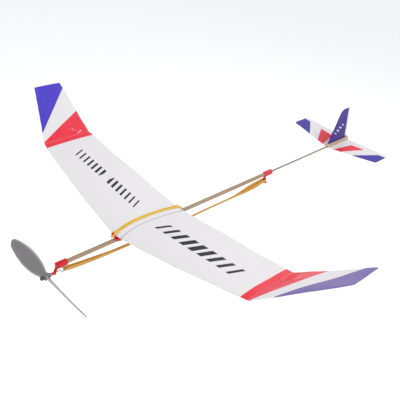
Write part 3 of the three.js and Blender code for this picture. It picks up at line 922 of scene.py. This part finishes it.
# ---- wood and moulded pieces ----
def make_stick():
    """Rectangular motor stick with slightly broken edges."""
    low, high = [from_row(corner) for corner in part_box("motor_stick")]
    end = 0.15
    xs = np.concatenate([
        [low[0], low[0] + end],
        np.linspace(low[0] + 1, high[0] - 1, 90),
        [high[0] - end, high[0]],
    ])
    section = rounded_section(high[2] - low[2], high[1] - low[1], 0.28)
    path = np.column_stack([xs, 0 * xs, 0 * xs])
    wide = np.tile([0, 0, 1.0], (len(xs), 1))
    wood = wood_material("stick_wood", (0.46, 0.335, 0.21), (0.27, 0.17, 0.105), fibre=700)
    stick = sweep_object("motor_stick_wood", path, section, wide, wood)
    shade_by_angle(stick, 50)
    finish_piece(stick, "fuselage", "stick_wood", "motor_stick")


def make_boom():
    """Round split-bamboo boom, not quite true along its length."""
    low, high = [from_row(corner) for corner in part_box("tail_boom")]
    xs = np.linspace(low[0], high[0], 120)
    bow = 0.03
    path = np.column_stack([xs, bow * np.sin(xs / 9), bow * np.cos(xs / 12)])
    wide = np.tile([0, 0, 1.0], (len(xs), 1))
    section = round_section((high[1] - low[1]) / 2 - 0.04, 24)
    bamboo = wood_material("boom_wood", (0.42, 0.33, 0.25), (0.27, 0.19, 0.13), fibre=1500)
    boom = sweep_object("tail_boom_wood", path, section, wide, bamboo)
    shade_by_angle(boom, 50)
    finish_piece(boom, "fuselage", "boom_wood", "tail_boom")


def make_moulded():
    """Injection-moulded pieces: rounded copies of the CAD solids."""
    red = moulded_material("red_plastic", (0.7, 0.008, 0.018), 0.26, shine=0.32)
    beige = moulded_material("tail_block_plastic", (0.6, 0.46, 0.33), 0.5)
    for node, body, width, paint, slot in (
        ("nose_bracket", "fuselage", 0.28, red, "red_plastic"),
        ("tail_hook", "fuselage", 0.25, red, "red_plastic"),
        ("wing_seat", "wing_group", 0.2, red, "red_plastic"),
        ("tail_block", "fuselage", 0.3, beige, "tail_block"),
    ):
        piece = softened(node, node + "_moulding", width, paint)
        finish_piece(piece, body, slot)


# ---- propeller ----
BLADE = {
    "root": 1.5, "tip": 60.8, "half_chord": 9.1, "least_half_chord": 1.7, "camber": 0.045,
    "root_angle": 34.0, "tip_angle": 27.0, "thickness": 1.3, "tip_thickness": 0.9,
    "swell": 1.4, "swell_reach": 9.0, "arch_reach": 0.93, "arch_lean": 0.93,
    "fullness": 0.62, "tip_rounding": 3.2, "tip_thinning": 0.25, "tip_blunt": 0.012,
}
HUB = {"rear": 87.7, "front": 93.1, "radius": 3.3, "bore": 0.53}
NOSE_CAP = {"rear": 93.4, "front": 96.4, "radius": 2.0}
WASHER = {"rear": 86.3, "front": 87.4, "radius": 2.1}


def make_propeller():
    """Two-blade propeller with a cambered, twisted blade on each side of a turned hub."""
    b, h = BLADE, HUB
    # The blades' lighter rim color is a painted highlight along their edges.
    grey = moulded_material(
        "propeller_plastic", (0.2, 0.188, 0.192), 0.42, glow=0.02, relief=0.8, rim=(0.5, 0.49, 0.5))
    middle = (h["rear"] + h["front"]) / 2
    rows = 60
    radius = lerp(b["root"], b["tip"], np.sin(np.linspace(0, 1, rows) * np.pi / 2))
    t = radius / b["tip"]
    arch = np.minimum(1, t * b["arch_reach"]) ** b["arch_lean"]
    chord = b["half_chord"] * np.sin(np.pi * arch) ** b["fullness"]
    chord = np.maximum(b["least_half_chord"], chord)
    close = np.clip((radius - (b["tip"] - b["tip_rounding"])) / b["tip_rounding"], 0, 1)
    tip_round = np.sqrt(np.clip(1 - close ** 2, b["tip_blunt"], 1))
    chord *= tip_round
    angle = np.radians(lerp(b["root_angle"], b["tip_angle"], t))
    across = np.sin(np.linspace(-1, 1, 27) * np.pi / 2)
    thick = lerp(b["thickness"], b["tip_thickness"], np.linspace(0, 1, rows))
    thick = thick + b["swell"] * np.exp(-((radius - b["root"]) / b["swell_reach"]) ** 2)
    thick *= lerp(b["tip_thinning"], 1, tip_round)
    profile = np.sqrt(np.clip(1 - across ** 2, 0.02, 1)) * (1 - 0.18 * across)
    half = thick[:, None] / 2 * profile[None, :]
    labels = np.dstack([across[None, :] + 0 * half, radius[:, None] + 0 * half])
    for index, turn in enumerate((1, -1)):
        chordwise = np.stack([np.sin(angle), 0 * angle, turn * np.cos(angle)], 1)
        forward = np.stack([np.cos(angle), 0 * angle, -turn * np.sin(angle)], 1)
        line = np.stack([0 * radius + middle, turn * radius, 0 * radius + SHAFT_Z], 1)
        bow = b["camber"] * 2 * chord[:, None] * (1 - across[None, :] ** 2)
        mean = line[:, None, :] + chordwise[:, None, :] * (chord[:, None] * across[None, :])[..., None]
        mean = mean + forward[:, None, :] * bow[..., None]
        normal = np.repeat(forward[:, None, :], len(across), 1)
        blade = plate_object(f"propeller_blade_{index + 1}", mean, normal, half, grey, labels)
        finish_piece(blade, "propeller_group", "propeller_plastic", "propeller")
    rear_rim = [(0.5, 0.8), (0.7, 0.45), (0.9, 0.12), (1.3, 0)]
    front_rim = [(-1.1, 0), (-0.6, 0.14), (-0.2, 0.55), (0, 1.0)]
    profile = [(h["rear"], h["bore"]), (h["rear"], 2.2)]
    profile += rim_points(h["rear"], h["radius"], rear_rim)
    profile += rim_points(h["front"], h["radius"], front_rim)
    profile.append((h["front"], h["bore"]))
    hub = turned_object("propeller_hub", profile, grey)
    finish_piece(hub, "propeller_group", "propeller_plastic", "propeller")


def make_spinner():
    """Nose cap in front of the propeller, with a dimple in its face."""
    n = NOSE_CAP
    rear_rim = [(0, 0.2), (0.2, 0)]
    front_rim = [(-0.9, 0), (-0.45, 0.13), (-0.15, 0.42), (0, 0.85)]
    dimple = [(0.05, 0.7), (0.5, 0.35), (1.1, 0.3), (1.1, 0.05), (1.2, 0.05), (1.2, HUB["bore"])]
    profile = [(n["rear"], HUB["bore"])]
    profile += rim_points(n["rear"], n["radius"], rear_rim)
    profile += rim_points(n["front"], n["radius"], front_rim)
    profile += [(n["front"] - depth, radius) for depth, radius in dimple]
    dark = moulded_material("hub_plastic", (0.085, 0.085, 0.09), 0.4, glow=0.0, relief=0.8)
    cap = turned_object("hub_nose_cap", profile, dark)
    finish_piece(cap, "propeller_group", "hub_plastic", "hub_nose")


def make_washer():
    """Thrust washer between the propeller and the nose bracket."""
    w = WASHER
    edge = 0.15
    inside = HUB["bore"] + 0.1
    profile = [(w["rear"], inside)]
    profile += rim_points(w["rear"], w["radius"], [(0, edge), (edge, 0)])
    profile += rim_points(w["front"], w["radius"], [(-edge, 0), (0, edge)])
    profile += [(w["front"], inside), ((w["rear"] + w["front"]) / 2, HUB["bore"])]
    steel = steel_material("washer_steel", (300, 2600, 2600), 0.34)
    ring = turned_object("thrust_washer_ring", profile, steel)
    finish_piece(ring, "propeller_group", "steel", "thrust_washer")


SHAFT = {
    "radius": 0.45, "front": 95.0, "back": 77.4, "neck": 1.2, "hook_radius": 2.5,
    "hook_start": 35.0, "hook_end": 301.0, "hook_step": 26.5,
}


def catmull(points, steps):
    """Smooth curve through the points, with steps pieces between each pair."""
    points = np.asarray(points, float)
    padded = np.vstack([2 * points[0] - points[1], points, 2 * points[-1] - points[-2]])
    curve = []
    for a, b, c, d in zip(padded, padded[1:], padded[2:], padded[3:]):
        square = 2 * a - 5 * b + 4 * c - d
        cube = 3 * b - a - 3 * c + d
        for t in np.arange(steps) / steps:
            curve.append(0.5 * (2 * b + (c - a) * t + square * t ** 2 + cube * t ** 3))
    curve.append(points[-1])
    return np.array(curve)


def make_shaft():
    """Straight wire whose rear end is bent into the rubber's hook."""
    s = SHAFT
    centre = s["back"] - s["neck"] - s["hook_radius"]
    points = [(x, 0, SHAFT_Z) for x in (s["front"], s["back"] + 8, s["back"] + 4, s["back"])]
    for angle in np.radians(np.arange(s["hook_start"], s["hook_end"], s["hook_step"])):
        along = s["hook_radius"] * math.cos(angle)
        points.append((centre + along, 0, SHAFT_Z - s["hook_radius"] * math.sin(angle)))
    path = catmull(points, 5)
    wide = np.tile([0, 1.0, 0], (len(path), 1))
    steel = steel_material("wire_steel", (150, 2400, 2400), 0.3)
    wire = sweep_object("prop_shaft_wire", path, round_section(s["radius"], 16), wide, steel)
    shade_by_angle(wire, 50)
    finish_piece(wire, "propeller_group", "steel", "prop_shaft")


# ---- rubber ----
RUBBER = {
    "width": 3.2, "turn_width": 2.3, "thickness": 1.0, "edge_radius": 0.2,
    "front_x": 71.3, "rear_x": -196.2, "front_z": -7.4, "rear_z": -7.8, "sag": 5.8, "sag_power": 3.2,
    "front_spread": 1.35, "rear_spread": 1.85, "side_spread": 1.5, "middle_spread": 0.52,
    "front_reach": 1.8, "rear_reach": 2.3, "turn_in": 4.0, "turn_arc": 70,
    "still_behind": 55, "turned_ahead": 3,
}


def make_rubber():
    """Rubber motor: one flat loop, slack between the wire hook and the tail hook.

    Its two strands lie open at the hooks and gather face to face between them. Just ahead of
    the tail hook they lie edge to edge for a while. side is the angle from one strand to the
    other, and lean is how far each strand's face has turned.
    """
    r = RUBBER
    length = r["front_x"] - r["rear_x"]
    share = np.linspace(0, 1, 200)
    x = lerp(r["front_x"], r["rear_x"], share)
    hang = 1 - np.abs(2 * share - 1) ** r["sag_power"]
    z = lerp(r["front_z"], r["rear_z"], share) - r["sag"] * hang
    from_front = share * length
    from_rear = length - from_front
    nearest = np.minimum(from_front, from_rear)
    front_half = share < 0.5
    front_spread = lerp(r["front_spread"], r["middle_spread"], ease(from_front, 0, 60))
    rear_spread = lerp(r["rear_spread"], r["side_spread"], ease(from_rear, 0, 9))
    rear_spread = lerp(rear_spread, r["middle_spread"], ease(from_rear, 18, 32))
    spread = np.where(front_half, front_spread, rear_spread)
    front_lean = 22 * ease(from_front, 15, 45) + 23 * ease(from_front, 85, 45)
    rear_side = 45 * ease(from_rear, 3, 12)
    rear_lean = -25 * ease(from_rear, 3, 12) + 70 * ease(from_rear, 22, 38)
    side = np.radians(np.where(front_half, front_lean, rear_side))
    lean = np.radians(np.where(front_half, front_lean, rear_lean))
    width = lerp(r["turn_width"], r["width"], ease(nearest, 0, r["turn_in"]))
    slack = ease(nearest, 20, 30)
    wave = 0.3 * slack * np.sin(share * 21)
    drift = 0.2 * slack * np.sin(share * 17)

    def strand(sign):
        offset = sign * spread
        height = z + wave - offset * np.sin(side)
        path = np.column_stack([x, offset * np.cos(side) + drift, height])
        return path, np.column_stack([0 * x, np.sin(lean), np.cos(lean)])

    def turn(place, height, reach, half):
        angles = np.radians(np.linspace(-r["turn_arc"], r["turn_arc"], 9))
        along = place + reach * np.cos(angles)
        return np.column_stack([along, -half * np.sin(angles), height + 0 * angles])

    first, first_wide = strand(1)
    second, second_wide = strand(-1)
    rear = turn(r["rear_x"], z[-1], -r["rear_reach"], spread[-1])
    front = turn(r["front_x"], z[0], r["front_reach"], -spread[0])
    path = np.vstack([first, rear, second[::-1], front])
    up = np.tile([0, 0, 1.0], (len(rear), 1))
    wide = np.vstack([first_wide, up, second_wide[::-1], up])
    end_width = np.full(len(rear), r["turn_width"])
    stretch = np.concatenate([width, end_width, width[::-1], end_width]) / r["width"]
    amber = rubber_material("amber_rubber", (0.72, 0.38, 0.045), (0.56, 0.25, 0.022), glow=0.35)
    section = rounded_section(r["width"], r["thickness"], r["edge_radius"], 3)
    loop = sweep_object("rubber_motor_loop", path, section, wide, amber, closed=True, stretch=stretch)
    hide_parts("rubber_motor")
    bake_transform(loop)


BAND = {
    "width": 1.4, "thickness": 0.9, "edge_radius": 0.22, "spread": 1.27, "nip": 0.85, "nip_reach": 0.62,
    "turn_half": 0.8, "front": 20.5, "rear": -63.8, "lift": 0.12,
}


def make_band():
    """Yellow band stretched over the wing from the seat's front hook to its rear hook.

    Its two strands draw together over the wing, down to nip, and spread towards the hooks.
    """
    w, b = WING, BAND
    inner = np.linspace(0, 1, 45)[1:-1:4]
    over_x = lerp(w["root_le"], w["root_te"], inner)
    surface = w["z"] + w["camber"] * camber_line(inner) + w["thickness"] / 2
    over_z = surface + b["thickness"] / 2 + b["lift"]
    front = [
        (b["front"], 5.9), (b["front"] - 0.4, 7.0), (w["root_le"] + 1.5, 8.2), (w["root_le"] - 0.2, 9.6),
    ]
    rear = [
        (w["root_te"] - 0.4, 8.3), (w["root_te"] - 1.6, 7.2), (b["rear"] + 0.2, 5.6), (b["rear"], 4.4),
    ]
    profile = catmull(front + list(zip(over_x, over_z)) + rear, 4)
    count = len(profile)
    place = np.abs(2 * np.arange(count) / (count - 1) - 1)
    spread = lerp(b["nip"], b["spread"], np.minimum(1, place / b["nip_reach"]) ** 2)
    step = np.gradient(profile, axis=0)
    normal = np.column_stack([-step[:, 1], 0 * step[:, 0], step[:, 0]])
    normal /= np.linalg.norm(normal, axis=1)[:, None]
    normal *= np.sign(normal[:, 2:].sum())

    def strand(side):
        return np.column_stack([profile[:, 0], side * spread, profile[:, 1]])

    def turn(index, dx, dz, side):
        across = np.array([1, 0.4, -0.4, -1])
        deeper = 1 + 0.12 * (1 - across ** 2)
        x, z = profile[index]
        return np.column_stack([x + dx * deeper, across * side * b["turn_half"], z + dz * deeper])

    rear_turn = turn(-1, dx=-0.05, dz=-1.5, side=1)
    front_turn = turn(0, dx=0.5, dz=-0.6, side=-1)
    path = np.vstack([strand(1), rear_turn, strand(-1)[::-1], front_turn])
    rear_normal = np.tile(normal[-1], (len(rear_turn), 1))
    front_normal = np.tile(normal[0], (len(front_turn), 1))
    outward = np.vstack([normal, rear_normal, normal[::-1], front_normal])
    along = np.roll(path, -1, 0) - np.roll(path, 1, 0)
    wide = np.cross(outward, along)
    yellow = rubber_material("yellow_rubber", (0.93, 0.62, 0.05), (0.82, 0.5, 0.03), glow=0.15)
    section = rounded_section(b["width"], b["thickness"], b["edge_radius"], 3)
    band = sweep_object("wing_band_loop", path, section, wide, yellow, closed=True)
    finish_piece(band, "wing_group", "yellow_rubber", "wing_band")


make_camera()
make_studio()
make_wing()
make_stabilizer()
make_fin()
make_stick()
make_boom()
make_moulded()
make_propeller()
make_spinner()
make_washer()
make_shaft()
make_rubber()
make_band()
